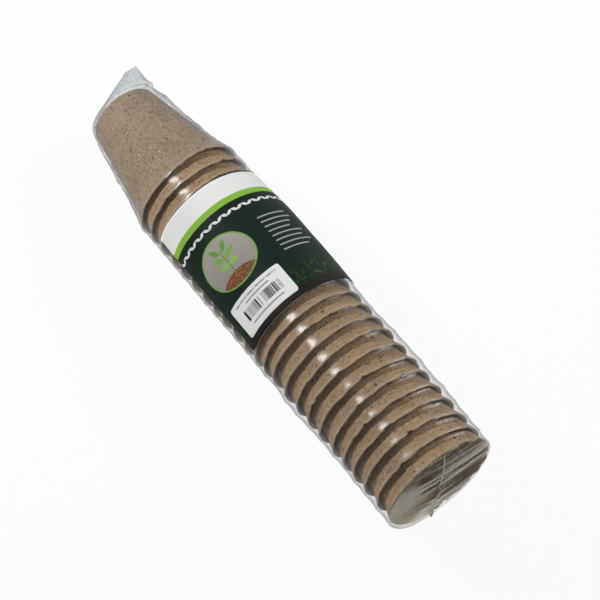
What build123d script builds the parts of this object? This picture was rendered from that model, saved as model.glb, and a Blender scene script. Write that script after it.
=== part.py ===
"""Shrink-wrapped pack of nested round fibre plant pots, lying on its side.

Millimetres. +X runs along the stack towards the open mouths, +Z is up, and the origin is under
the middle of the pack, on the surface it lies on.
"""

import os

from build123d import *

# One pot: sizes of a tapered cup of moulded fibre that flares out to its rim
pot_count = 24
rim_radius = 40.0
pot_height = 78.0
base_radius = 23.5
flare_height = 11.5
flare_overhang = 4.5
wall = 1.6
base_thickness = 1.8
base_round = 5.0

# The stack: how far each pot stays out of the one behind it
nest_gap = 0.3
spread_shares = (
    0.12, 0.01, 0.24, 0.02, 0.10, 0.25, 0.03, 0.01, 0.16, 0.03, 0.02, 0.04,
    0.03, 0.19, 0.08, 0.21, 0.20, 0.16, 0.16, 0.08, 0.18, 0.17, 0.07,
)

# The film: a shrunk sleeve, its gathered tail and the panel across the last mouth
film_gap = 0.3
film_thickness = 0.5
waist_gap = 1.0
dip_share = 0.5
ground_flat_depth = 0.35
tail_reach = 22.0
tail_side_offset = 26.0
tail_rise = 5.0
tail_shares = (
    # reach, offset, half width, half height
    (0.50, 0.50, 0.62, 0.52),
    (1.00, 1.00, 0.22, 0.12),
)
seam_width = 1.2
seam_height = 0.6
seam_tilt = 6.5
nib_length = 4.0
nib_height = 2.2

# The printed label and the sticker on it
label_length = 103.0
label_end_pot = 12
label_end_reach = 0.6
label_top_angle = 90.0
label_half_angle = 78.0
label_thickness = 0.25
label_gap = 0.1
sticker_length = 24.0
sticker_margin = 4.2
sticker_sweep = 67.0
sticker_thickness = 0.15
sticker_gap = 0.15

# Worked out from the pot
throat_radius = rim_radius - flare_overhang
body_height = pot_height - flare_height
taper = (throat_radius - base_radius) / body_height
nest_pitch = (wall + nest_gap) / taper

# Worked out from the stack and the film
pitches = [nest_pitch * (1 + share) for share in spread_shares]
pack_length = tail_reach + film_gap + pot_height + sum(pitches) + film_gap + film_thickness + nib_height
first_base_x = tail_reach + film_gap - pack_length / 2
pot_base_xs = [first_base_x + sum(pitches[:index]) for index in range(pot_count)]
rim_xs = [base_x + pot_height for base_x in pot_base_xs]
mouth_x = rim_xs[-1]
film_start_x = first_base_x - film_gap
film_end_x = mouth_x + film_gap
dip_depth = film_thickness * dip_share
ridge_radius = rim_radius + film_gap + film_thickness
axis_z = ridge_radius - ground_flat_depth
stack_axis = Axis((0, 0, axis_z), (1, 0, 0))


def side_plane(x):
    """Plane along the stack axis with its origin at x: local x is axial, local y is the radius."""
    return Plane(origin=(x, 0, axis_z), x_dir=(1, 0, 0), z_dir=(0, -1, 0))


def cross_plane(x):
    """Plane square to the stack axis at x: local x is +Y, local y is +Z."""
    return Plane.YZ.offset(x).shift_origin((x, 0, axis_z))


def make_pot(base_x, label):
    """One fibre cup, its base at base_x: a tapered body, a flared rim and a round-edged base."""
    inner_base_radius = base_radius + taper * base_thickness - wall
    with BuildPart() as pot:
        with BuildSketch(side_plane(base_x)) as section:
            with BuildLine():
                Polyline(
                    (0, 0),
                    (0, base_radius),
                    (body_height, throat_radius),
                    (pot_height, rim_radius),
                    (pot_height, rim_radius - wall),
                    (body_height, throat_radius - wall),
                    (base_thickness, inner_base_radius),
                    (base_thickness, 0),
                    close=True,
                )
            make_face()
            base_edge = section.vertices().group_by(Axis.X)[0].sort_by(Axis.Y)[-1]
            fillet(base_edge, base_round)
        revolve(axis=stack_axis)
    pot.part.label = label
    return pot.part


def bent_sheet(label, start_x, length, inside_radius, thickness, start_angle, sweep):
    """A thin sheet lying round the stack axis, from one angle through a sweep."""
    with BuildPart() as sheet:
        with BuildSketch(cross_plane(start_x)):
            with BuildLine():
                inner = CenterArc((0, 0), inside_radius, start_angle, sweep)
                outer = CenterArc((0, 0), inside_radius + thickness, start_angle, sweep)
                Line(inner @ 0, outer @ 0)
                Line(inner @ 1, outer @ 1)
            make_face()
        extrude(amount=length)
    sheet.part.label = label
    return sheet.part


pots = [make_pot(base_x, f"pot_{index + 1:02d}") for index, base_x in enumerate(pot_base_xs)]

# Film sleeve: close along the first pot's side, then dipping a little between one rim and the next
with BuildPart() as film_sleeve:
    inside_radius = rim_radius + film_gap
    start_radius = base_radius + film_gap
    waist_x = first_base_x + body_height
    waist_radius = throat_radius + waist_gap
    dips = [(left_x + right_x) / 2 for left_x, right_x in zip(rim_xs, rim_xs[1:])]
    ridge_points = [(x, ridge_radius) for x in rim_xs]
    dip_points = [(x, ridge_radius - dip_depth) for x in dips]
    with BuildSketch(side_plane(0)):
        with BuildLine():
            Polyline(
                (film_start_x, start_radius),
                (film_start_x, start_radius + film_thickness),
                (waist_x, waist_radius + film_thickness),
                *sorted(ridge_points + dip_points),
                (film_end_x, ridge_radius),
                (film_end_x, inside_radius),
                (rim_xs[0], inside_radius),
                (waist_x, waist_radius),
                close=True,
            )
        make_face()
    revolve(axis=stack_axis)
    split(bisect_by=Plane.XY, keep=Keep.TOP)
film_sleeve.part.label = "film_sleeve"

# Film tail: the gathered end beyond the first pot's base, drawn over to one side and hollow
with BuildPart() as film_tail:
    for inset, mode in ((0, Mode.ADD), (film_thickness, Mode.SUBTRACT)):
        tail_start_radius = base_radius + film_gap + film_thickness - inset
        with BuildSketch(cross_plane(film_start_x)):
            Circle(tail_start_radius)
        for reach_share, offset_share, width_share, height_share in tail_shares:
            section_x = film_start_x - (tail_reach - inset) * reach_share
            with BuildSketch(cross_plane(section_x)):
                with Locations((tail_side_offset * offset_share, tail_rise * offset_share)):
                    Ellipse(base_radius * width_share - inset, base_radius * height_share - inset)
        loft(ruled=True, mode=mode)
film_tail.part.label = "film_tail"

# Mouth panel: film across the last pot's mouth, with its upright seal and the nib at its foot
seam_plane = Plane(cross_plane(film_end_x + film_thickness).location * Rot(Z=-seam_tilt))
with BuildPart() as film_mouth_panel:
    with BuildSketch(cross_plane(film_end_x)):
        Circle(ridge_radius)
    extrude(amount=film_thickness)
    with BuildSketch(seam_plane):
        Rectangle(seam_width, 2 * rim_radius)
    extrude(amount=seam_height)
    with BuildSketch(seam_plane):
        with Locations((0, nib_length / 2 - rim_radius)):
            Rectangle(seam_width, nib_length)
    extrude(amount=nib_height)
    split(bisect_by=Plane.XY, keep=Keep.TOP)
film_mouth_panel.part.label = "film_mouth_panel"

# Label and code sticker: printed sheets bent over the top of the sleeve
label_inside = ridge_radius + label_gap
label_end_x = rim_xs[label_end_pot - 1] + label_end_reach
label = bent_sheet(
    "label", label_end_x - label_length, label_length, label_inside, label_thickness,
    label_top_angle - label_half_angle, 2 * label_half_angle,
)
sticker_inside = label_inside + label_thickness + sticker_gap
code_sticker = bent_sheet(
    "code_sticker", label_end_x - sticker_margin - sticker_length, sticker_length, sticker_inside,
    sticker_thickness, label_top_angle, sticker_sweep,
)

os.makedirs("parts", exist_ok=True)
film_pieces = [film_sleeve.part, film_tail.part, film_mouth_panel.part]
for piece in pots + film_pieces + [label, code_sticker]:
    export_step(piece, f"parts/{piece.label}.step")
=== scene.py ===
"""Looks of a shrink-wrapped stack of fibre plant pots that lies on its side.

Metres. +X runs along the stack towards the open mouths, +Z is up. Angles round the stack are measured from
the top line, towards +Y, which is the right-hand side of the picture.
"""

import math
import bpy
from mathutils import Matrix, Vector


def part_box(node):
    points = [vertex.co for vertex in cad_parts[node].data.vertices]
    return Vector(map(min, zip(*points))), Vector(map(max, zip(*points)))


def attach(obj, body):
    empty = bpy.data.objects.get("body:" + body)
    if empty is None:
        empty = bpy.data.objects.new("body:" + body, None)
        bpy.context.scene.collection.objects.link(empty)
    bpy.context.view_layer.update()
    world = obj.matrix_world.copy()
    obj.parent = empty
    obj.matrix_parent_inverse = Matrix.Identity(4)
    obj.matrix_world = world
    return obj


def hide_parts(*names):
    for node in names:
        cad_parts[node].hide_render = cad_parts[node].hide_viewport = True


bl_info = {
    "name": "Wrapped fibre pots",
    "version": (1, 0, 0),
    "blender": (4, 5, 0),
    "location": "3D View > Sidebar > Fibre pots",
    "description": "Dresses a packed stack of fibre pots: moulded fibre, shrink film, label and sticker",
    "category": "Object",
}

from math import cos, exp, hypot, pi, sin, sqrt

import bpy
import numpy as np
from bpy.props import FloatProperty, FloatVectorProperty, IntProperty, PointerProperty
from mathutils import Vector, noise

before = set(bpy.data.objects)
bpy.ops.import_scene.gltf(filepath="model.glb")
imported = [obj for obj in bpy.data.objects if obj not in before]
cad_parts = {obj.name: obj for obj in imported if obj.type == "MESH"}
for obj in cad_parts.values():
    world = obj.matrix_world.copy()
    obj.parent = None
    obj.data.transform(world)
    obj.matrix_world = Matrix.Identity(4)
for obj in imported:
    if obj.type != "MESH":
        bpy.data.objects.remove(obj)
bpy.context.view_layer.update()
MM = 0.001
WHITE = (1.0, 1.0, 1.0, 1.0)

# Places that the frame gives
POT_NODES = sorted(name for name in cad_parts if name.startswith("pot_"))
POT_BOXES = [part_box(name) for name in POT_NODES]
BASE_XS = [low[0] for low, high in POT_BOXES]
RIM_XS = [high[0] for low, high in POT_BOXES]
POT_HEIGHT = RIM_XS[0] - BASE_XS[0]
RIM_RADIUS = (POT_BOXES[0][1][1] - POT_BOXES[0][0][1]) / 2
AXIS_Z = (POT_BOXES[0][1][2] + POT_BOXES[0][0][2]) / 2
MOUTH_X = RIM_XS[-1]
TAIL_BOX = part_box("film_tail")
LABEL_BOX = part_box("label")
STICKER_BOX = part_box("code_sticker")

# The lowest that film lies, the seam's place across the mouth and the slope of the wrinkles beside it
GROUND = 0.02 * MM
SEAM_SHIFT = -2.4 * MM
WRINKLE_SLOPE = 0.14
# Print places are stored ten to a metre, so each is a hundred millimetres
PRINT_PER_METRE = 10.0
MM_PER_PRINT = 100.0

# How each rim leans, as shares of the largest lean, from the tail to the mouth
LEAN_SHARES = (
    -0.6, -0.2, -0.6, -0.2, 0.1, -0.3, 0.2, -0.2, 0.3, -0.1, -0.4, -0.7,
    0.15, 0.65, 0.0, -0.2, 0.3, 0.5, -0.2, 0.2, 0.5, 1.0, 0.8, 0.2,
)
# How far the film stands off the rims at the stack's left and right, as shares of the side slack
LEFT_SLACK_SHARES = (
    0.2, 0.0, 0.05, 0.05, 0.1, 0.15, 0.2, 0.15, 0.1, 0.1, 0.15, 0.2,
    0.4, 0.0, 0.75, 0.8, 0.35, 0.15, 0.25, 0.1, 0.45, 0.4, 0.55, 0.6,
)
RIGHT_SLACK_SHARES = (
    -0.1, -0.05, -0.1, 0.3, 0.7, 1.1, 1.15, 1.1, 1.15, 1.1, 1.0, 0.8,
    0.35, 0.3, 0.45, 0.95, 0.9, 1.1, 0.65, 1.0, 0.7, 0.4, 0.25, -0.1,
)
# How far the film stands off the first pot at its left and right, at places from its base to its rim
CONE_PLACES = (0.0, 0.1, 0.2, 0.33, 0.5, 0.7, 0.85, 1.0)
LEFT_CONE_SHARES = (0.0, 0.3, 0.5, 0.3, 0.27, 0.25, 0.3, 0.0)
RIGHT_CONE_SHARES = (1.0, 0.95, 1.1, 0.6, 0.2, 0.05, 0.0, 0.0)


def length(name, description, millimetres):
    """A size that a user can change, given in millimetres."""
    return FloatProperty(name=name, description=description, default=millimetres * MM, unit="LENGTH")


def tint(name, description, *rgb):
    """A colour that a user can change."""
    return FloatVectorProperty(name=name, description=description, subtype="COLOR", default=rgb)


def steps(name, description, default):
    """A number of mesh steps."""
    return IntProperty(name=name, description=description, default=default, min=4)


def degrees(name, description, default):
    """An angle that a user can change, given in degrees."""
    return FloatProperty(name=name, description=description, default=math.radians(default), subtype="ANGLE")


def number(name, description, default):
    """A plain number that a user can change."""
    return FloatProperty(name=name, description=description, default=default)


class PotSettings(bpy.types.PropertyGroup):
    """Sizes and colours of the moulded fibre pots."""

    sides: steps("Sides", "Mesh steps round one pot", 224)
    base_radius: length("Base radius", "Outside radius of the closed end", 23.5)
    throat_radius: length("Throat radius", "Outside radius where the flare starts", 35.5)
    flare_height: length("Flare height", "Flared band under the rim", 11.5)
    wall: length("Wall", "Fibre thickness", 1.6)
    base_thickness: length("Base thickness", "Thickness of the closed end", 1.8)
    base_round: length("Base round", "Radius of the base edge", 5.0)
    rim_inset: length("Rim inset", "Room left under the film for a pot to slide", 0.25)
    lean: length("Lean", "Largest shift of a rim from one side to the other", 1.9)
    waver: length("Waver", "Slow waver of the rim edge", 1.2)
    fray: length("Fray", "Fine raggedness of the rim edge", 1.3)
    notch: length("Notch", "Depth of the torn bites in the rim edge", 1.8)
    lump: length("Lump", "Unevenness of the open surfaces", 0.22)
    fibre: tint("Fibre", "Main colour of the fibre", 0.385, 0.262, 0.152)
    # Also the colour of the painted highlight along the rim edges
    fibre_pale: tint("Pale fibre", "Colour of dry raised fibre", 0.50, 0.40, 0.29)
    fibre_dark: tint("Dark fibre", "Colour of bark flecks", 0.045, 0.028, 0.017)


class FilmSettings(bpy.types.PropertyGroup):
    """Sizes and colours of the shrink film."""

    sides: steps("Sides", "Mesh steps round the film", 200)
    rows: steps("Rows", "Mesh steps from one rim to the next", 7)
    cone_rows: steps("Cone rows", "Mesh steps along the first pot", 80)
    tail_rows: steps("Tail rows", "Mesh steps along the tail", 72)
    panel_steps: steps("Panel steps", "Mesh steps across the mouth film", 190)
    gap: length("Gap", "Film to rim, outside to outside", 0.55)
    gauge: length("Gauge", "Film thickness", 0.06)
    dip: length("Dip", "Depth of the film between two rims", 0.5)
    slack: length("Side slack", "Film standing off at the sides", 2.0)
    cone_slack: length("Cone slack", "Film standing off beside the first pot", 3.0)
    crease: length("Crease", "Height of the creases along the first pot", 0.9)
    tip_width: length("Tail tip", "Half width of the flattened end", 4.6)
    tip_rise: length("Tail rise", "How far the tail's tip rises above the axis", 5.0)
    ear: length("Ear", "Loose fold beside the tail", 1.6)
    pleat: length("Pleat", "Depth of the pleats in the tail", 0.6)
    lip: length("Lip", "Radius of the film's turn round the mouth", 0.8)
    slack_lip: length("Slack lip", "Further lip radius at the mouth's lower left", 2.0)
    bulge: length("Bulge", "How far the mouth film swells", 1.5)
    wrinkle: length("Wrinkle", "Height of the mouth film's wrinkles", 0.6)
    seam_width: length("Seam width", "Width of the sealed seam", 1.2)
    seam_height: length("Seam height", "How far the seam stands up", 0.5)
    seam_tilt: degrees("Seam tilt", "Seam's turn from upright", 6.5)
    nib_length: length("Nib length", "Length of the loose seam end", 11.0)
    nib_height: length("Nib height", "How far the loose seam end stands up", 1.8)
    haze: tint("Haze", "Colour of the film's own haze", 0.30, 0.42, 0.44)
    mouth_haze: tint("Mouth haze", "Haze of the mouth film", 0.66, 0.65, 0.54)
    gloss: tint("Gloss", "Colour of the film's shine", 0.40, 0.415, 0.425)
    mouth_gloss: tint("Mouth gloss", "Colour of the mouth film's shine", 0.55, 0.545, 0.485)
    softness: number("Softness", "Roughness of the film's shine", 0.17)
    mouth_softness: number("Mouth softness", "Roughness of the mouth film's shine", 0.12)


class LabelSettings(bpy.types.PropertyGroup):
    """Sizes and colours of the label and its sticker."""

    skew: length("Skew", "How far the label's tail edge draws in at the right", 5.2)
    lift: length("Lift", "Label's outside above the film", 0.3)
    sticker_lift: length("Sticker lift", "Sticker's outside above the film", 0.5)
    thickness: length("Thickness", "Paper thickness", 0.18)
    sticker_corner: length("Sticker corner", "Corner radius of the sticker", 2.0)
    paper: tint("Paper", "Unprinted paper", 0.92, 0.92, 0.91)
    band: tint("Band", "Bright green band", 0.27, 0.53, 0.06)
    field: tint("Field", "Dark green field", 0.0015, 0.010, 0.006)
    panel: tint("Panel", "Grey picture panel", 0.38, 0.35, 0.32)
    clay: tint("Clay", "Brown of the panel's soil", 0.33, 0.14, 0.06)
    leaf: tint("Leaf", "Green of the printed leaves", 0.20, 0.42, 0.07)
    soil: tint("Soil", "Dark strip at the label's foot", 0.008, 0.007, 0.006)


class StageSettings(bpy.types.PropertyGroup):
    """The camera, the lamps and the floor."""

    azimuth: degrees("Azimuth", "Camera's turn round the stack", 53.15)
    elevation: degrees("Elevation", "Camera's height angle", 61.36)
    distance: length("Distance", "Camera to the stack", 1800.0)
    lens: number("Lens", "Focal length in millimetres", 165.8)
    setback: length("Setback", "Looked-at point behind the mouth", 150.0)
    aim_right: length("Aim right", "Aim moved to the picture's right", 2.33)
    aim_up: length("Aim up", "Aim moved to the picture's top", 10.25)
    key_energy: number("Key", "Main lamp, from the tail's left, in watts", 17.0)
    fill_energy: number("Fill", "Far-side lamp in watts", 8.6)
    glint_energy: number("Glint", "Main lamp's reflection in watts", 16.0)
    streak_energy: number("Streak", "Far-side lamp's reflection in watts", 5.5)
    sky_low: number("Low sky", "Strength of the light round the horizon", 0.20)
    sky_high: number("High sky", "Strength of the light overhead", 0.10)
    floor: tint("Floor", "Floor colour", 0.90, 0.90, 0.90)


def math_method(operation, swapped=False):
    """A method that adds a Math node for a socket and any other value."""
    def add_node(self, *others):
        values = (*others, self) if swapped else (self, *others)
        return self.maker.node("ShaderNodeMath", {"operation": operation}, dict(enumerate(values)))
    return add_node


class Socket:
    """One output of a node. Python operators on it add Math nodes."""

    def __init__(self, maker, socket):
        self.maker = maker
        self.socket = socket

    __add__ = math_method("ADD")
    __radd__ = math_method("ADD", swapped=True)
    __sub__ = math_method("SUBTRACT")
    __rsub__ = math_method("SUBTRACT", swapped=True)
    __mul__ = math_method("MULTIPLY")
    __rmul__ = math_method("MULTIPLY", swapped=True)
    __truediv__ = math_method("DIVIDE")
    __pow__ = math_method("POWER")
    __mod__ = math_method("FLOORED_MODULO")
    __lt__ = math_method("LESS_THAN")
    __gt__ = math_method("GREATER_THAN")
    __abs__ = math_method("ABSOLUTE")
    most = math_method("MAXIMUM")
    floor = math_method("FLOOR")
    sine = math_method("SINE")
    cosine = math_method("COSINE")


class NodeMaker:
    """Adds nodes to one material or geometry tree."""

    def __init__(self, tree):
        self.tree = tree

    def node(self, kind, settings=(), sockets=(), output=0):
        """One node: its settings come first, then the values or links of its sockets."""
        made = self.tree.nodes.new(kind)
        for name, value in dict(settings).items():
            setattr(made, name, value)
        for key, value in dict(sockets).items():
            if isinstance(value, Socket):
                self.tree.links.new(value.socket, made.inputs[key])
            else:
                made.inputs[key].default_value = value
        return Socket(self, made.outputs[output]) if made.outputs else None

    def object_place(self):
        return self.node("ShaderNodeTexCoord", output="Object")

    def attribute(self, name):
        return self.node("ShaderNodeAttribute", {"attribute_name": name}, output="Fac")

    def axes(self, vector):
        """The three numbers of a vector."""
        split = self.node("ShaderNodeSeparateXYZ", sockets={0: vector})
        return [Socket(self, output) for output in split.socket.node.outputs]

    def vector(self, x=0.0, y=0.0, z=0.0):
        return self.node("ShaderNodeCombineXYZ", sockets={0: x, 1: y, 2: z})

    def noise(self, place, scale, detail=2.0, roughness=0.5, distortion=0.0):
        """Noise from 0 to 1, at so many waves a metre."""
        return self.node("ShaderNodeTexNoise", sockets={
            "Vector": place, "Scale": scale, "Detail": detail,
            "Roughness": roughness, "Distortion": distortion,
        })

    def ease(self, value, low, high):
        """A smooth step from 0 to 1 as the value goes from low to high."""
        return self.node(
            "ShaderNodeMapRange",
            {"interpolation_type": "SMOOTHSTEP"},
            {"Value": value, "From Min": low, "From Max": high},
        )

    def colours(self, factor, first, second):
        """One colour turning into another."""
        settings = {"data_type": "RGBA", "clamp_factor": True}
        sockets = {0: factor, 6: opaque(first), 7: opaque(second)}
        return self.node("ShaderNodeMix", settings, sockets, output=2)

    def bump(self, height, strength, distance):
        return self.node(
            "ShaderNodeBump", sockets={"Strength": strength, "Distance": distance, "Height": height}
        )

    def principled(self, **sockets):
        named = {name.replace("_", " "): value for name, value in sockets.items()}
        return self.node("ShaderNodeBsdfPrincipled", sockets=named)

    def backdrop_rays(self):
        """1 for rays that show the backdrop: straight, mirrored or through something clear."""
        names = ("Is Camera Ray", "Is Glossy Ray", "Is Transmission Ray")
        straight, mirrored, through = [self.node("ShaderNodeLightPath", output=name) for name in names]
        return straight.most(mirrored).most(through)

    def surface(self, shader):
        self.node("ShaderNodeOutputMaterial", sockets={"Surface": shader})


def opaque(colour):
    """A colour as a socket takes it."""
    if isinstance(colour, Socket):
        return colour
    return (*tuple(colour)[:3], 1.0)


def shade(colour, share):
    """A colour made darker or lighter."""
    return [channel * share for channel in colour]


def new_material(name):
    """An empty node material and its maker."""
    material = bpy.data.materials.new(name)
    material.use_nodes = True
    material.node_tree.nodes.clear()
    return material, NodeMaker(material.node_tree)


def fibre_material(pot):
    """Matt moulded fibre: mottled, with pale strands, bark flecks and paler rim edges, partly worn fibre and
    partly a painted highlight.
    """
    material, maker = new_material("moulded_fibre")
    place = maker.object_place()
    cloud = maker.noise(place, 55.0, 3.0, 0.55)
    mottle = maker.noise(place, 420.0, 4.0, 0.68)
    strands = maker.noise(place, 620.0, 3.0, 0.6, 1.6)
    tone = maker.ease(mottle * 0.7 + cloud * 0.3, 0.36, 0.66)
    colour = maker.colours(tone, shade(pot.fibre, 0.74), shade(pot.fibre, 1.2))
    pale = maker.ease(strands, 0.58, 0.74) * 0.35
    colour = maker.colours(pale, colour, pot.fibre_pale)
    drift = maker.noise(place, 210.0, 2.0)
    moved = maker.vector(drift * 0.004, drift * -0.003, drift * 0.002)
    fleck_place = maker.node("ShaderNodeVectorMath", {"operation": "ADD"}, {0: place, 1: moved})
    fleck = None
    for scale, radius in ((420.0, 0.24), (170.0, 0.14), (70.0, 0.09), (26.0, 0.07)):
        cell = maker.node("ShaderNodeTexVoronoi", {"feature": "F1"}, {"Vector": fleck_place, "Scale": scale})
        spots = 1.0 - maker.ease(cell, radius * 0.55, radius * 1.2)
        fleck = spots if fleck is None else fleck.most(spots)
    patch = maker.ease(maker.noise(place, 90.0, 2.0), 0.38, 0.54)
    colour = maker.colours(fleck * (0.2 + patch * 0.75), colour, pot.fibre_dark)
    # Paler rim edge: partly worn fibre, partly a painted highlight where the rim catches the light
    edge = maker.attribute("edge")
    colour = maker.colours(edge * (0.35 + strands * 0.5), colour, pot.fibre_pale)
    height = mottle * 0.6 + strands * 0.5 - fleck * 0.4
    maker.surface(maker.principled(
        Base_Color=colour, Roughness=0.94 - strands * 0.1, Normal=maker.bump(height, 0.6, 0.0005),
        Specular_IOR_Level=0.1,
    ))
    return material


def film_materials(name, haze_colour, gloss_colour, roughness):
    """Clear glossy film: see-through face on, bright where it is seen aslant, hazy where it is gathered.

    The second material is for the film's inner face, which adds no reflection of its own.
    """
    material, maker = new_material(name)
    place = maker.object_place()
    haze, crumple = maker.attribute("haze"), maker.attribute("crumple")
    ripple = maker.noise(place, 190.0, 2.0, 0.5, 0.6)
    wander = maker.noise(place, 75.0, 2.0, 0.5, 1.2)
    crackle = maker.noise(place, 260.0, 2.0, 0.5, 1.6)
    folds = (1.0 - abs(wander - 0.5) * 14.0).most(0.0) + (1.0 - abs(crackle - 0.5) * 9.0).most(0.0) * 0.45
    height = ripple * (0.015 + crumple * 0.6) + folds * crumple * 0.75
    bump = maker.bump(height, 0.4, 0.0012)
    facing = maker.node("ShaderNodeLayerWeight", sockets={"Blend": 0.5, "Normal": bump}, output="Facing")
    face_on = 0.015
    slant = face_on + facing ** 5.0 * (1.0 - face_on)
    # The sheen layer scales the shine; on the mouth film it holds painted reflection in streaks and flecks
    shine = 2.0 * slant / (1.0 + slant) * maker.attribute("sheen")
    clear = maker.node("ShaderNodeBsdfTransparent")
    milk = maker.principled(
        Base_Color=opaque(haze_colour), Roughness=0.4 + ripple * 0.2, Normal=bump, Specular_IOR_Level=0.2,
    )
    gloss = maker.node("ShaderNodeBsdfAnisotropic", sockets={
        "Color": opaque(gloss_colour), "Roughness": roughness, "Normal": bump,
    })
    cloud = haze * (0.7 + wander * 0.6 + folds * 0.3)
    veil = maker.node("ShaderNodeMixShader", sockets={0: cloud, 1: clear, 2: milk})
    maker.surface(maker.node("ShaderNodeMixShader", sockets={0: shine, 1: veil, 2: gloss}))
    inside, maker = new_material(f"{name}_inside")
    maker.surface(maker.node("ShaderNodeBsdfTransparent"))
    return material, inside


def wave(x, y, z):
    """Smooth noise at a place, from -1 to 1."""
    return noise.noise(Vector((x, y, z)))


def spot(angle):
    """Direction away from the stack's axis, at an angle from the top line."""
    return Vector((0.0, sin(angle), cos(angle)))


def waver(angle, seed, rate):
    """Smooth noise round the stack, from -1 to 1."""
    return noise.noise(spot(angle) * rate + Vector((seed, 0.0, 0.0)))


def rise(share):
    """A smooth step from 0 to 1."""
    share = min(1.0, max(0.0, share))
    return share * share * (3.0 - 2.0 * share)


def body_radius(along, pot):
    """Outside radius of a pot's side at a place along it."""
    throat = POT_HEIGHT - pot.flare_height
    radii = (pot.base_radius, pot.throat_radius, RIM_RADIUS - pot.rim_inset)
    return float(np.interp(along, (0.0, throat, POT_HEIGHT), radii))


def pot_profile(pot):
    """Half section of a pot as (along, radius), from the base's outside to its inside."""
    round_steps, side_steps, lip_steps = 4, 22, 6
    half = pot.wall / 2
    centre = body_radius(pot.base_round, pot) - pot.base_round
    base = [(0.0, 0.0), (0.0, pot.base_radius * 0.45)]
    for step in range(round_steps):
        turn = pi / 2 * step / round_steps
        base.append((pot.base_round * (1 - cos(turn)), centre + pot.base_round * sin(turn)))
    side = []
    for step in range(side_steps):
        along = pot.base_round + (POT_HEIGHT - half - pot.base_round) * (step / (side_steps - 1)) ** 0.7
        side.append((along, body_radius(along, pot)))
    lip = []
    for step in range(1, lip_steps):
        turn = pi * step / lip_steps
        radius = RIM_RADIUS - pot.rim_inset - half + half * cos(turn)
        lip.append((POT_HEIGHT - half + half * sin(turn), radius))
    inside = [(along, radius - pot.wall) for along, radius in reversed(side)]
    floor = [(pot.base_thickness, pot.base_radius - pot.wall - pot.base_round / 2), (pot.base_thickness, 0.0)]
    return base + side + lip + inside + floor


def pot_tree(pot, material):
    """Geometry tree that turns a half section about the stack's axis and frays its rim."""
    tree = bpy.data.node_groups.new("fibre_pot", "GeometryNodeTree")
    face = tree.interface
    face.new_socket("Geometry", in_out="INPUT", socket_type="NodeSocketGeometry")
    names = ("Base X", "Axis Z", "Lean", "Waver", "Fray", "Notch", "Outside lump", "Inside lump", "Seed")
    for name in names:
        face.new_socket(name, in_out="INPUT", socket_type="NodeSocketFloat")
    face.new_socket("Sides", in_out="INPUT", socket_type="NodeSocketInt")
    face.new_socket("Geometry", in_out="OUTPUT", socket_type="NodeSocketGeometry")
    maker = NodeMaker(tree)
    group = tree.nodes.new("NodeGroupInput")
    given = {socket.name: Socket(maker, socket) for socket in group.outputs if socket.name}
    section = given["Geometry"]
    count = maker.node("GeometryNodeAttributeDomainSize", {"component": "MESH"}, {0: section})
    grid = maker.node("GeometryNodeMeshGrid", sockets={
        0: 1.0, 1: 1.0, "Vertices X": given["Sides"] + 1.0, "Vertices Y": count,
    })
    index = maker.node("GeometryNodeInputIndex")
    row = index % count
    turn = (index / count).floor() * (2 * pi) / given["Sides"]
    spot_on = maker.node(
        "GeometryNodeSampleIndex",
        {"data_type": "FLOAT_VECTOR", "domain": "POINT"},
        {0: section, 1: maker.node("GeometryNodeInputPosition"), 2: row},
    )
    along, _, radius = maker.axes(spot_on)
    side, up = turn.sine(), turn.cosine()
    seed = given["Seed"]
    ring = maker.vector(seed, side, up)
    throat = POT_HEIGHT - pot.flare_height
    to_rim = maker.ease(along, throat - pot.flare_height, POT_HEIGHT)
    to_edge = maker.ease(along, POT_HEIGHT - pot.wall * 2.2, POT_HEIGHT)
    slow = maker.noise(ring, 1.9, 1.0) - 0.5
    quick = maker.noise(ring, 6.5, 4.0, 0.6) - 0.5
    bite = maker.ease(maker.noise(ring, 4.6, 2.0, 0.6), 0.57, 0.74)
    shift = given["Lean"] * side * to_rim + given["Waver"] * slow * 2.0 * to_rim
    shift = shift + (given["Fray"] * quick * 2.0 - given["Notch"] * bite) * to_edge
    on_skin = maker.vector(along + seed, side * radius, up * radius)
    lumps = maker.noise(on_skin, 150.0, 3.0, 0.55) - 0.5
    outside_share = 0.52
    inside = row > (count - 1.0) * outside_share
    size = given["Outside lump"] * (1.0 - inside) + given["Inside lump"] * inside
    size = size.most(maker.ease(along, throat - pot.wall, throat + pot.wall) * pot.lump)
    on_axis, weld = 1e-5, 1e-6
    out = radius + lumps * 2.0 * size * (radius > on_axis)
    place = maker.vector(given["Base X"] + along + shift, side * out, given["Axis Z"] + up * out)
    moved = maker.node("GeometryNodeSetPosition", sockets={0: grid, 2: place})
    # The edge layer marks the rim's top, where the material paints worn paler fibre and a painted highlight
    marked = maker.node(
        "GeometryNodeStoreNamedAttribute",
        {"data_type": "FLOAT", "domain": "POINT"},
        {0: moved, "Name": "edge", "Value": maker.ease(along, POT_HEIGHT - pot.wall * 1.6, POT_HEIGHT)},
    )
    merged = maker.node("GeometryNodeMergeByDistance", sockets={0: marked, "Distance": weld})
    smooth = maker.node("GeometryNodeSetShadeSmooth", sockets={0: merged})
    real = maker.node("GeometryNodeRealizeInstances", sockets={0: smooth})
    dressed = maker.node("GeometryNodeSetMaterial", sockets={0: real, "Material": material})
    maker.node("NodeGroupOutput", sockets={0: dressed})
    return tree


def plain_object(name, data):
    piece = bpy.data.objects.new(name, data)
    bpy.context.scene.collection.objects.link(piece)
    return piece


def keep_shape(piece, modifier):
    """Turns what a modifier makes of a piece into its plain mesh."""
    bpy.context.view_layer.update()
    shown = piece.evaluated_get(bpy.context.evaluated_depsgraph_get())
    mesh = bpy.data.meshes.new_from_object(shown)
    piece.modifiers.remove(modifier)
    piece.data = mesh


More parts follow.
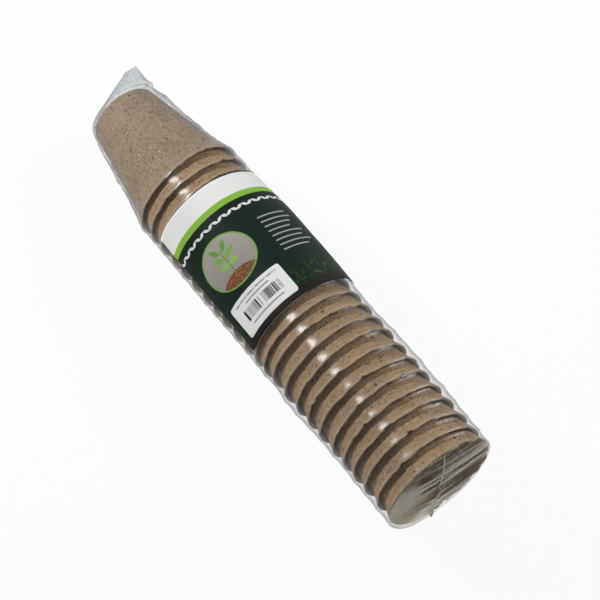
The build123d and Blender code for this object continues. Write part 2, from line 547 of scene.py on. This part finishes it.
def bake_tree(piece, tree, values):
    """Runs a geometry tree on a piece and keeps the result as a plain mesh."""
    modifier = piece.modifiers.new("Shape", "NODES")
    modifier.node_group = tree
    for item in tree.interface.items_tree:
        if item.in_out == "INPUT" and item.name in values:
            modifier[item.identifier] = values[item.name]
    keep_shape(piece, modifier)


def thicken(piece, gauge, back_material=None):
    """Gives a sheet its thickness, inwards."""
    if back_material is not None:
        piece.data.materials.append(back_material)
    modifier = piece.modifiers.new("Gauge", "SOLIDIFY")
    modifier.thickness = gauge
    modifier.offset = -1.0
    modifier.material_offset = 0 if back_material is None else 1
    keep_shape(piece, modifier)


def line_mesh(name, points):
    """A string of edges through (along, radius) points."""
    mesh = bpy.data.meshes.new(name)
    edges = [(i, i + 1) for i in range(len(points) - 1)]
    mesh.from_pydata([(along, 0.0, radius) for along, radius in points], edges, [])
    return mesh


def sheet_mesh(name, rows, outwards, closed_round=False):
    """A mesh through rows of points, joined round if asked, that faces the way outwards says."""
    wide = len(rows[0])
    span = wide if closed_round else wide - 1
    faces = []
    for i in range(len(rows) - 1):
        for j in range(span):
            k = (j + 1) % wide
            faces.append((i * wide + j, i * wide + k, (i + 1) * wide + k, (i + 1) * wide + j))
    mesh = bpy.data.meshes.new(name)
    mesh.from_pydata([point for row in rows for point in row], [], faces)
    facing = sum(polygon.normal.dot(outwards(polygon.center)) for polygon in mesh.polygons)
    if facing < 0:
        mesh.flip_normals()
    mesh.shade_smooth()
    return mesh


def from_axis(place):
    """Direction from the stack's axis to a place."""
    return Vector((0.0, place.y, place.z - AXIS_Z))


def film_piece(name, rows, outwards, gauge, front, back=None, closed_round=False):
    """A piece of film through rows of points: x, y, z and how hazy, crumpled and shiny each is."""
    mesh = sheet_mesh(name, [[point[:3] for point in row] for row in rows], outwards, closed_round)
    for column, layer in enumerate(("haze", "crumple", "sheen"), 3):
        values = [point[column] for row in rows for point in row]
        mesh.attributes.new(layer, "FLOAT", "POINT").data.foreach_set("value", values)
    mesh.materials.append(front)
    piece = plain_object(name, mesh)
    thicken(piece, gauge, back)
    return piece


def seat(piece, node, body):
    """Hands a finished piece to the frame in place of a node."""
    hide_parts(node)
    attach(piece, body)


class OBJECT_OT_dress_pots(bpy.types.Operator):
    """Makes the moulded pots, each with its own frayed rim"""

    bl_idname = "fibre_pots.dress_pots"
    bl_label = "Pots"

    def execute(self, context):
        pot = context.scene.fibre_pots_pot
        material = fibre_material(pot)
        tree = pot_tree(pot, material)
        section = pot_profile(pot)
        last = len(POT_NODES) - 1
        for index, node in enumerate(POT_NODES):
            piece = plain_object(f"{node}_fibre", line_mesh(node, section))
            bake_tree(piece, tree, {
                "Base X": BASE_XS[index], "Axis Z": AXIS_Z, "Lean": pot.lean * LEAN_SHARES[index],
                "Waver": pot.waver, "Fray": pot.fray, "Notch": pot.notch,
                "Outside lump": pot.lump if index == 0 else 0.0,
                "Inside lump": pot.lump if index == last else 0.0,
                "Seed": 3.7 * index, "Sides": pot.sides,
            })
            seat(piece, node, "pack" if index == 0 else node)
        return {"FINISHED"}


def rim_x(index, angle, pot):
    """Where the rim of one pot lies along the stack, as the film feels it."""
    return RIM_XS[index] + pot.lean * LEAN_SHARES[index] * sin(angle)


def film_radius(x, angle, film):
    """Outside radius of the film over the rims, with the slack at the stack's sides."""
    shares = RIGHT_SLACK_SHARES if sin(angle) > 0 else LEFT_SLACK_SHARES
    share = float(np.interp(x, RIM_XS, shares))
    return RIM_RADIUS + film.gap + film.slack * share * sin(angle) ** 2


def cone_radius(share, angle, film, pot):
    """Outside radius of the film over the first pot, from its base to its rim."""
    shares = RIGHT_CONE_SHARES if sin(angle) > 0 else LEFT_CONE_SHARES
    slack = film.cone_slack * float(np.interp(share, CONE_PLACES, shares)) * sin(angle) ** 2
    return body_radius(share * POT_HEIGHT, pot) + pot.rim_inset * share + film.gap + slack


def crease(x, angle, rate, seed):
    """Sharp-crested folds of slack film, from 0 to 1, at so many waves a metre."""
    mean_radius, stretch, sharpness = 0.037, 0.6, 2.6
    reach = mean_radius * rate
    fold = wave(x * rate * stretch + seed, sin(angle) * reach, cos(angle) * reach)
    return 1.0 - min(1.0, abs(fold) * sharpness)


def ring(film, make):
    """A row of film points: make gives x, y, z above the axis, haze and crumple at an angle."""
    row = []
    for step in range(film.sides):
        x, y, z, haze, crumple = make(2 * pi * step / film.sides)
        row.append((x, y, max(AXIS_Z + z, GROUND), haze, crumple, 1.0))
    return row


def round_ring(film, make):
    """A row of film points: make gives x, radius, haze and crumple at an angle."""
    def place(angle):
        x, radius, haze, crumple = make(angle)
        return x, radius * sin(angle), radius * cos(angle), haze, crumple
    return ring(film, place)


def sleeve_rows(film, pot):
    """The film round the stack, from the first pot's base to the mouth."""
    rows = []
    start_x = TAIL_BOX[1][0]
    last = len(RIM_XS) - 1
    coarse, fine = 60.0, 130.0
    rim_waver, ripple_height = 0.12 * MM, 0.04 * MM

    def over_rim(index, angle):
        return film_radius(RIM_XS[index], angle, film) + rim_waver * waver(angle, 5.0 * index, 3.0)

    for step in range(film.cone_rows):
        share = step / film.cone_rows

        def cone(angle):
            x = start_x + (rim_x(0, angle, pot) - start_x) * share
            slack_at_rim = over_rim(0, angle) - RIM_RADIUS - film.gap
            radius = cone_radius(share, angle, film, pot) + slack_at_rim * share**6
            slackness = sin(pi * share) ** 0.7
            fold = crease(x, angle, coarse, 1.3) ** 3 + 0.6 * crease(x, angle, fine, 8.1) ** 3
            radius += film.crease * slackness * fold
            return x, radius, 0.085 + 0.05 * (1 - share) ** 3, 1.0 - 0.4 * share

        rows.append(round_ring(film, cone))
    for index in range(last):
        for step in range(film.rows):
            share = step / film.rows

            def band(angle):
                left, right = rim_x(index, angle, pot), rim_x(index + 1, angle, pot)
                x = left + (right - left) * share
                radius = over_rim(index, angle) * (1 - share) + over_rim(index + 1, angle) * share
                sag = sin(pi * share**0.8)
                deep = film.dip * (1.0 + 0.3 * waver(angle, 2.0 + index, 2.6))
                ripple = ripple_height * noise.noise(spot(angle) * 5.0 + Vector((x * 150.0, 0.0, 0.0)))
                return x, radius + (ripple - deep) * sag, 0.012, 0.0

            rows.append(round_ring(film, band))

    def edge(angle):
        return max(rim_x(last, angle, pot), MOUTH_X), over_rim(last, angle), 0.03, 0.05

    rows.append(round_ring(film, edge))
    return rows


def tail_rows(film, pot):
    """The film beyond the first pot's base, drawn together to a flat end at one side."""
    rows = []
    start_x, end_x = TAIL_BOX[1][0], TAIL_BOX[0][0]
    tip_y = (TAIL_BOX[1][1] - TAIL_BOX[0][1]) / 2 - film.tip_width
    flat, ragged_edge = 0.02 * MM, 0.9 * MM
    pleats, ear_angle, ear_width, ear_place = 5.5, 1.25, 0.35, 0.12
    for step in range(film.tail_rows + 1):
        share = 1.0 - step / film.tail_rows

        def tail(angle):
            mid = sin(pi * share)
            side, up = sin(angle), cos(angle)
            start = cone_radius(0.0, angle, film, pot)
            fold = abs(sin(pleats * angle + 1.6 * waver(angle, 4.0, 1.5) + 1.2 * share)) - 0.6
            fold += 0.4 * wave(share * 6.0, side * 3.0, up * 3.0)
            off_ear = ((angle - ear_angle) / ear_width) ** 2 + ((share - ear_place) / ear_place) ** 2
            swell = film.pleat * fold * mid + film.ear * exp(-off_ear)
            across = start * (1 - share) + film.tip_width * share + swell
            tall = (start + swell) * (1 - share) + flat * share
            ragged = ragged_edge * wave(side * 3.0, up * 3.0, 7.0) * share
            x = start_x + (end_x - start_x) * share + abs(ragged)
            haze = 0.10 + 0.14 * rise(share * 3.0) + 0.08 * max(0.0, fold) * mid
            y, z = tip_y * share + across * side, film.tip_rise * share + tall * up
            return x, y, z, haze, 0.25 + 0.4 * share

        rows.append(ring(film, tail))
    return rows


class OBJECT_OT_wrap_film(bpy.types.Operator):
    """Makes the film sleeve and its gathered tail"""

    bl_idname = "fibre_pots.wrap_film"
    bl_label = "Film sleeve and tail"

    def execute(self, context):
        film = context.scene.fibre_pots_film
        pot = context.scene.fibre_pots_pot
        front, back = film_materials("shrink_film", film.haze, film.gloss, film.softness)
        for node, make in (("film_sleeve", sleeve_rows), ("film_tail", tail_rows)):
            rows = make(film, pot)
            piece = film_piece(f"{node}_skin", rows, from_axis, film.gauge, front, back, closed_round=True)
            seat(piece, node, "pack")
        return {"FINISHED"}


def seam_offset(y, z, film):
    """How far a place on the mouth film lies to the right of the seam."""
    return (y - SEAM_SHIFT) * cos(film.seam_tilt) - z * sin(film.seam_tilt)


def wrinkled(y):
    """From 0 on the plain left of the mouth film to 1 on its wrinkled right."""
    return rise((y + 21.0 * MM) / (13.0 * MM))


def panel_height(y, z, film):
    """How far the mouth film stands out at a place, measured from the axis."""
    reach = hypot(y, z) / RIM_RADIUS
    drawn_in = 1.3 * MM * rise((z - 18.0 * MM) / (22.0 * MM)) ** 2
    swell = film.bulge * (1.0 - reach**2) - drawn_in
    across = 0.12 + 0.88 * wrinkled(y)
    tall = max(0.0, 1.0 - (abs(z + 3.0 * MM) / (36.0 * MM)) ** 4)
    level = z + WRINKLE_SLOPE * y
    fold = 1.0 - 2.4 * abs(wave(y * 16.0, level * 150.0, 4.0))
    fine = wave(y * 30.0, level * 420.0, 9.0)
    bend = wave(y * 45.0, z * 60.0, 2.0)
    wrinkles = film.wrinkle * across * tall * (0.75 * fold + 0.4 * fine + 0.35 * bend)
    off = seam_offset(y, z, film)
    broken = 0.55 + 0.9 * wave(3.0, 1.0, z * 260.0)
    seam = film.seam_height * broken * exp(-((off / (film.seam_width * 0.4)) ** 2))
    return swell + (wrinkles + seam) * (1.0 - reach**8)


def painted_panel_shine(y, z):
    """Painted reflection on the mouth film: how brightly a place shines, even at the left, in streaks at the
    right, with bright flecks at the top.
    """
    level = z + WRINKLE_SLOPE * y
    broad = wave(y * 11.0, level * 230.0, 4.0)
    fine = wave(y * 25.0, level * 520.0, 9.0)
    # Streaks of stronger and weaker shine are painted reflection standing in for the light off the wrinkles
    streak = 0.55 + 1.7 * broad + 0.8 * fine
    right = rise((y + 20.0 * MM + z * 0.25) / (12.0 * MM))
    top = rise((z - 22.0 * MM) / (10.0 * MM))
    # Flecks at the top are painted glints
    fleck = wave(y * 240.0, z * 240.0, 1.0)
    even = 1.6 - 0.9 * top
    return even * (1.0 - right) + right * (0.10 + 1.5 * rise(streak)) + 1.6 * top * max(0.0, fleck)


def panel_rows(film):
    """The mouth film: a square net drawn to a disc, its edge turned back round the rim."""
    rows = []
    count = film.panel_steps
    ticks = [2.0 * step / count - 1.0 for step in range(count + 1)]
    outer = RIM_RADIUS + film.gap
    for v in ticks:
        row = []
        for u in ticks:
            across, tall = u * sqrt(1 - v * v / 2), v * sqrt(1 - u * u / 2)
            reach, angle = hypot(across, tall), math.atan2(across, tall)
            lip = film.lip + film.slack_lip * exp(-((angle + 2.3) / 0.5) ** 2)
            edge = film_radius(MOUTH_X, angle, film)
            run = reach * (edge - lip + lip * pi / 2)
            turn = max(0.0, run - (edge - lip)) / lip
            radius = min(run, edge - lip) + lip * sin(turn)
            y, z = radius * sin(angle), radius * cos(angle)
            x = MOUTH_X + lip * cos(turn) + panel_height(y, z, film) * cos(turn)
            off = seam_offset(y, z, film)
            stitch = rise(1.2 + 3.0 * wave(y * 90.0, z * 210.0, 6.0))
            seal = 0.45 * stitch * exp(-((off / (film.seam_width * 0.55)) ** 2)) * (reach < 0.9)
            haze = 0.05 + 0.10 * (radius > outer - lip * 1.5) + seal
            place = (x, y, max(AXIS_Z + z, GROUND))
            # The sheen value is painted reflection: streaks and flecks of stronger and weaker shine
            row.append((*place, haze, 0.25 * wrinkled(y), painted_panel_shine(y, z)))
        rows.append(row)
    return rows


def nib_rows(film):
    """The loose end of the seam: a small fin at the foot of the mouth film."""
    rows = []
    long_steps, high_steps = 12, 6
    haze, crumple, sheen = 0.55, 0.2, 1.0
    foot = 0.4 * MM - RIM_RADIUS
    for step in range(long_steps + 1):
        share = step / long_steps
        up = foot + film.nib_length * (1 - share)
        y = SEAM_SHIFT + up * math.tan(film.seam_tilt)
        base = MOUTH_X + film.lip + panel_height(y, up, film)
        row = []
        for tick in range(high_steps + 1):
            out = tick / high_steps * film.nib_height * (0.25 + 0.75 * share)
            curl = (0.9 * sin(3.0 * share) + 0.5 * tick / high_steps) * MM
            row.append((base + out, y + curl, AXIS_Z + up - 0.3 * out, haze, crumple, sheen))
        rows.append(row)
    return rows


class OBJECT_OT_stretch_mouth_film(bpy.types.Operator):
    """Makes the film across the last mouth, with its seam and loose end"""

    bl_idname = "fibre_pots.stretch_mouth_film"
    bl_label = "Mouth film"

    def execute(self, context):
        film = context.scene.fibre_pots_film
        looks = (film.mouth_haze, film.mouth_gloss, film.mouth_softness)
        front, back = film_materials("mouth_film", *looks)
        ahead, right = Vector((1.0, 0.0, 0.0)), Vector((0.0, 1.0, 0.0))
        piece = film_piece("mouth_film_skin", panel_rows(film), lambda _: ahead, film.gauge, front, back)
        seat(piece, "film_mouth_panel", "mouth_film")
        nib = film_piece("mouth_film_nib", nib_rows(film), lambda _: right, 2 * film.gauge, front)
        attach(nib, "mouth_film")
        return {"FINISHED"}


def print_place(maker):
    """Round-the-stack and along-the-stack places on a printed sheet, in millimetres."""
    place = maker.node("ShaderNodeUVMap", {"uv_map": "print"})
    round_, along, _ = maker.axes(place)
    return round_ * MM_PER_PRINT, along * MM_PER_PRINT


def box_mask(across, along, left, right, low, high, soft=0.12):
    """1 inside a printed rectangle."""
    off_wide = abs(across - (left + right) / 2) - (right - left) / 2
    off_long = abs(along - (low + high) / 2) - (high - low) / 2
    return 1.0 - along.maker.ease(off_wide.most(off_long), -soft, soft)


def oval_mask(across, along, middle, wide, tall, soft=0.02):
    """1 inside a printed oval."""
    off = ((across - middle[0]) / wide) ** 2.0 + ((along - middle[1]) / tall) ** 2.0
    return 1.0 - along.maker.ease(off, 1.0 - soft, 1.0 + soft)


def leaf_mask(across, along, middle, turn, size, width, soft=0.15):
    """1 inside a printed leaf, pointed at both ends."""
    c, s = cos(turn), sin(turn)
    u = (across - middle[0]) * c + (along - middle[1]) * s
    v = (along - middle[1]) * c - (across - middle[0]) * s
    inside = width / 2 * (1.0 - (u / (size / 2)) ** 2.0) - abs(v)
    return along.maker.ease(inside, -soft, soft)


def paper_surface(maker, colour):
    """Smooth printed paper of a colour."""
    grain = maker.noise(maker.object_place(), 900.0, 2.0)
    maker.surface(maker.principled(
        Base_Color=colour, Roughness=0.55 + grain * 0.12, Normal=maker.bump(grain, 0.1, 0.0002),
        Specular_IOR_Level=0.12,
    ))


def label_material(label):
    """Printed paper: white head, bright stripe, dark field with leaves, oval with a seedling, dark foot."""
    material, maker = new_material("label_print")
    across, along = print_place(maker)
    place = maker.object_place()
    head_end, stripe_end, blur = 15.0, 19.5, 0.2
    colour = maker.colours(maker.ease(along, head_end - blur, head_end + blur), label.paper, label.band)
    colour = maker.colours(maker.ease(along, stripe_end - blur, stripe_end + blur), colour, label.field)
    leaf_pitch, garland, garland_end = 8.0, 25.6, 47.0
    step = across % leaf_pitch
    for turn, place_in_step in ((0.55, 2.1), (-0.55, 5.9)):
        leaves = leaf_mask(step, along, (place_in_step, garland), turn, 5.2, 2.1)
        colour = maker.colours(leaves * (across < garland_end), colour, shade(label.paper, 0.9))
    centre, line_pitch = -24.0, 4.2
    oval = (centre, 51.5)
    ring = oval_mask(across, along, oval, 21.6, 18.6)
    colour = maker.colours(ring, colour, label.leaf)
    tone = maker.ease(along, 33.0, 70.0)
    picture = maker.colours(tone, shade(label.panel, 1.1), shade(label.panel, 0.85))
    mound = oval_mask(across, along, (centre, 68.5), 18.0, 8.5, 0.06)
    crumbs = maker.noise(place, 900.0, 3.0)
    earth = maker.colours(maker.ease(crumbs, 0.4, 0.62), shade(label.clay, 0.35), label.clay)
    picture = maker.colours(mound, picture, earth)
    stem = box_mask(across, along, centre - 0.5, centre + 0.5, 42.0, 61.5)
    picture = maker.colours(stem, picture, shade(label.leaf, 0.75))
    for side in (-1.0, 1.0):
        for drop, turn, size in ((0.0, 0.95, 9.0), (6.0, 0.45, 11.0), (12.5, 0.15, 8.5)):
            middle = (centre + side * size * 0.45, 41.0 + drop)
            mask = leaf_mask(across, along, middle, -side * turn, size, 3.6)
            picture = maker.colours(mask, picture, shade(label.leaf, 0.8 + 0.045 * drop))
    inner = oval_mask(across, along, oval, 20.6, 17.6)
    colour = maker.colours(inner, colour, picture)
    line = along % line_pitch
    bars = box_mask(across, line, 10.0, 40.0, 1.2, 2.2)
    row = (along / line_pitch).floor()
    ragged = maker.node("ShaderNodeTexWhiteNoise", {"noise_dimensions": "1D"}, {"W": row})
    bars = bars * (across < 27.0 + ragged * 12.0) * box_mask(across, along, 0.0, 60.0, 36.0, 70.0)
    colour = maker.colours(bars * 0.6, colour, shade(label.paper, 0.75))
    foot = maker.ease(along, 78.0, 95.0)
    sward = maker.ease(maker.noise(place, 130.0, 4.0, 0.65, 1.2), 0.47, 0.70)
    colour = maker.colours(sward * foot * 0.55, colour, shade(label.leaf, 0.4))
    colour = maker.colours(maker.ease(along, 94.5, 98.0), colour, label.soil)
    grit = maker.ease(maker.noise(place, 1300.0, 2.0), 0.62, 0.72) * maker.ease(along, 96.0, 99.0)
    colour = maker.colours(grit * 0.35, colour, (0.10, 0.085, 0.07))
    paper_surface(maker, colour)
    return material


def sticker_material(label):
    """White sticker paper with plain black bars and grey lines."""
    material, maker = new_material("sticker_print")
    across, along = print_place(maker)
    ink = (0.012, 0.012, 0.014)
    bars_per_mm = 2.6
    cell = (across * bars_per_mm).floor()
    pick = maker.node("ShaderNodeTexWhiteNoise", {"noise_dimensions": "1D"}, {"W": cell})
    bars = (pick > 0.5) * box_mask(across, along, -39.5, -6.5, 8.8, 16.4, 0.1)
    colour = maker.colours(bars, label.paper, ink)
    for low, left, right in ((2.6, -42.0, -4.0), (5.6, -33.0, -12.0), (18.9, -38.0, -9.0)):
        rule = box_mask(across, along, left, right, low, low + 1.1)
        broken = maker.ease(maker.noise(maker.vector(across, low, 0.0), 0.9, 1.0), 0.36, 0.42)
        colour = maker.colours(rule * broken * 0.7, colour, shade(ink, 8.0))
    paper_surface(maker, colour)
    return material


def bent_print(name, box, turns, lift, label, film, counts, corner=0.0):
    """A sheet bent over the film between two angles, with its print places as a UV map.

    counts are the mesh steps round the stack and along it.
    """
    across, along = counts
    sheet_length = box[1][0] - box[0][0]
    radius = RIM_RADIUS + film.gap + lift
    corner_steps, curl_height = 6 if corner else 0, 0.05 * MM
    places = [corner * (1 - cos(pi / 2 * i / corner_steps)) for i in range(corner_steps)]
    middle = [corner + (sheet_length - 2 * corner) * i / along for i in range(along + 1)]
    ends = places + middle + [sheet_length - place for place in reversed(places)]
    rows, prints = [], []
    turns_span = turns[1] - turns[0]
    for end in ends:
        near = min(end, sheet_length - end, corner)
        inset = (corner - sqrt(max(0.0, corner**2 - (corner - near) ** 2))) / radius
        row = []
        for j in range(across + 1):
            angle = turns[0] + inset + (turns_span - 2 * inset) * j / across
            x = box[0][0] + end + label.skew * max(0.0, angle) / turns_span * (1.0 - end / sheet_length)
            curl = curl_height * wave(x * 60.0, angle * 3.0, radius * 100.0)
            out = film_radius(x, angle, film) + lift + curl
            row.append((x, out * sin(angle), AXIS_Z + out * cos(angle)))
            prints.append((angle * radius * PRINT_PER_METRE, end * PRINT_PER_METRE))
        rows.append(row)
    mesh = sheet_mesh(name, rows, from_axis)
    layer = mesh.uv_layers.new(name="print")
    for loop in mesh.loops:
        layer.data[loop.index].uv = prints[loop.vertex_index]
    return mesh


def box_angle(box, side):
    """The angle at which a bent CAD sheet ends on one side."""
    y = box[1][1] if side > 0 else box[0][1]
    return math.asin(max(-1.0, min(1.0, y / (box[1][2] - AXIS_Z))))


def lay_sheet(node, mesh, material, thickness):
    """Puts a printed sheet on the pack in place of a node."""
    mesh.materials.append(material)
    piece = plain_object(f"{node}_sheet", mesh)
    thicken(piece, thickness)
    seat(piece, node, "pack")


class OBJECT_OT_lay_label(bpy.types.Operator):
    """Makes the printed label over the film"""

    bl_idname = "fibre_pots.lay_label"
    bl_label = "Label"

    def execute(self, context):
        label, film = context.scene.fibre_pots_label, context.scene.fibre_pots_film
        turns = (box_angle(LABEL_BOX, -1), box_angle(LABEL_BOX, 1))
        mesh = bent_print("label", LABEL_BOX, turns, label.lift, label, film, (150, 96))
        lay_sheet("label", mesh, label_material(label), label.thickness)
        return {"FINISHED"}


class OBJECT_OT_lay_sticker(bpy.types.Operator):
    """Makes the white sticker on the label"""

    bl_idname = "fibre_pots.lay_sticker"
    bl_label = "Sticker"

    def execute(self, context):
        label, film = context.scene.fibre_pots_label, context.scene.fibre_pots_film
        turns = (box_angle(STICKER_BOX, -1), 0.0)
        lift, corner = label.sticker_lift, label.sticker_corner
        mesh = bent_print("code_sticker", STICKER_BOX, turns, lift, label, film, (80, 40), corner)
        lay_sheet("code_sticker", mesh, sticker_material(label), label.thickness)
        return {"FINISHED"}


class OBJECT_OT_set_stage(bpy.types.Operator):
    """Makes the floor, the lamps and the camera"""

    bl_idname = "fibre_pots.set_stage"
    bl_label = "Stage"

    def execute(self, context):
        stage = context.scene.fibre_pots_stage
        self.floor(stage)
        self.sky(context.scene, stage)
        lamps = (
            # name, direction, distance, size, energy, mirrored
            ("key_lamp", (-0.75, -0.35, 0.56), 1.5, (0.2, 0.2), stage.key_energy, False),
            ("fill_lamp", (0.25, 0.72, 0.65), 1.4, (0.6, 0.6), stage.fill_energy, False),
            ("glint_lamp", (-0.50, -0.38, 0.78), 1.4, (0.46, 0.24), stage.glint_energy, True),
            ("streak_lamp", (-0.14, 0.90, 0.42), 1.4, (0.09, 1.1), stage.streak_energy, True),
        )
        for lamp in lamps:
            self.lamp(*lamp)
        self.camera(context.scene, stage)
        context.scene.view_settings.view_transform = "Standard"
        return {"FINISHED"}

    @staticmethod
    def floor(stage):
        material, maker = new_material("pale_floor")
        seen = maker.backdrop_rays()
        plain = maker.node("ShaderNodeBsdfDiffuse", sockets={"Color": opaque(stage.floor)})
        white = maker.node("ShaderNodeEmission", sockets={"Color": WHITE, "Strength": 1.0})
        white_share, half = 0.93, 3.0
        maker.surface(maker.node("ShaderNodeMixShader", sockets={0: seen * white_share, 1: plain, 2: white}))
        corners = [(-half, -half, 0), (half, -half, 0), (half, half, 0), (-half, half, 0)]
        mesh = bpy.data.meshes.new("floor")
        mesh.from_pydata(corners, [], [(0, 1, 2, 3)])
        mesh.materials.append(material)
        plain_object("floor", mesh)

    @staticmethod
    def sky(scene, stage):
        world = bpy.data.worlds.new("soft_sky")
        world.use_nodes = True
        world.node_tree.nodes.clear()
        maker = NodeMaker(world.node_tree)
        seen = maker.backdrop_rays()
        _, _, height = maker.axes(maker.node("ShaderNodeTexCoord", output="Generated"))
        light = stage.sky_low + maker.ease(height, 0.05, 0.65) * (stage.sky_high - stage.sky_low)
        strength = light + seen * (1.0 - light)
        shown = maker.node("ShaderNodeBackground", sockets={"Color": WHITE, "Strength": strength})
        maker.node("ShaderNodeOutputWorld", sockets={"Surface": shown})
        scene.world = world

    @staticmethod
    def lamp(name, direction, distance, size, energy, mirrored):
        """An oval lamp that either lights the scene or is seen mirrored in the film."""
        middle = Vector((0.0, 0.0, AXIS_Z))
        data = bpy.data.lights.new(name, "AREA")
        data.shape = "ELLIPSE"
        data.size, data.size_y = size
        data.energy = energy
        lamp = plain_object(name, data)
        lamp.location = middle + Vector(direction).normalized() * distance
        lamp.rotation_euler = (middle - lamp.location).to_track_quat("-Z", "Y").to_euler()
        lamp.visible_glossy = mirrored
        lamp.visible_diffuse = not mirrored

    @staticmethod
    def camera(scene, stage):
        a, e = stage.azimuth, stage.elevation
        back = Vector((sin(a) * cos(e), -cos(a) * cos(e), sin(e)))
        right = Vector((cos(a), sin(a), 0.0))
        up = back.cross(right)
        target = Vector((MOUTH_X - stage.setback, 0.0, AXIS_Z))
        aim = target + right * stage.aim_right + up * stage.aim_up
        data = bpy.data.cameras.new("photo_camera")
        data.sensor_width = 36.0
        data.lens = stage.lens
        camera = plain_object("photo_camera", data)
        camera.location = target + back * stage.distance
        camera.rotation_euler = (aim - camera.location).to_track_quat("-Z", "Y").to_euler()
        scene.camera = camera


SETTINGS = (
    ("fibre_pots_pot", PotSettings), ("fibre_pots_film", FilmSettings),
    ("fibre_pots_label", LabelSettings), ("fibre_pots_stage", StageSettings),
)
OPERATORS = (
    OBJECT_OT_dress_pots, OBJECT_OT_wrap_film, OBJECT_OT_stretch_mouth_film,
    OBJECT_OT_lay_label, OBJECT_OT_lay_sticker, OBJECT_OT_set_stage,
)


class VIEW3D_PT_fibre_pots(bpy.types.Panel):
    """Sizes, colours and steps of the wrapped pots"""

    bl_idname = "VIEW3D_PT_fibre_pots"
    bl_label = "Wrapped fibre pots"
    bl_space_type = "VIEW_3D"
    bl_region_type = "UI"
    bl_category = "Fibre pots"

    def draw(self, context):
        for name, kind in SETTINGS:
            box = self.layout.box()
            for field in kind.__annotations__:
                box.prop(getattr(context.scene, name), field)
        for operator in OPERATORS:
            self.layout.operator(operator.bl_idname)


def register():
    for name, kind in SETTINGS:
        bpy.utils.register_class(kind)
        setattr(bpy.types.Scene, name, PointerProperty(type=kind))
    for kind in (*OPERATORS, VIEW3D_PT_fibre_pots):
        bpy.utils.register_class(kind)


def unregister():
    for kind in (VIEW3D_PT_fibre_pots, *reversed(OPERATORS)):
        bpy.utils.unregister_class(kind)
    for name, kind in reversed(SETTINGS):
        delattr(bpy.types.Scene, name)
        bpy.utils.unregister_class(kind)


def main():
    register()
    bpy.ops.fibre_pots.dress_pots()
    bpy.ops.fibre_pots.wrap_film()
    bpy.ops.fibre_pots.stretch_mouth_film()
    bpy.ops.fibre_pots.lay_label()
    bpy.ops.fibre_pots.lay_sticker()
    bpy.ops.fibre_pots.set_stage()


if __name__ == "__main__":
    main()
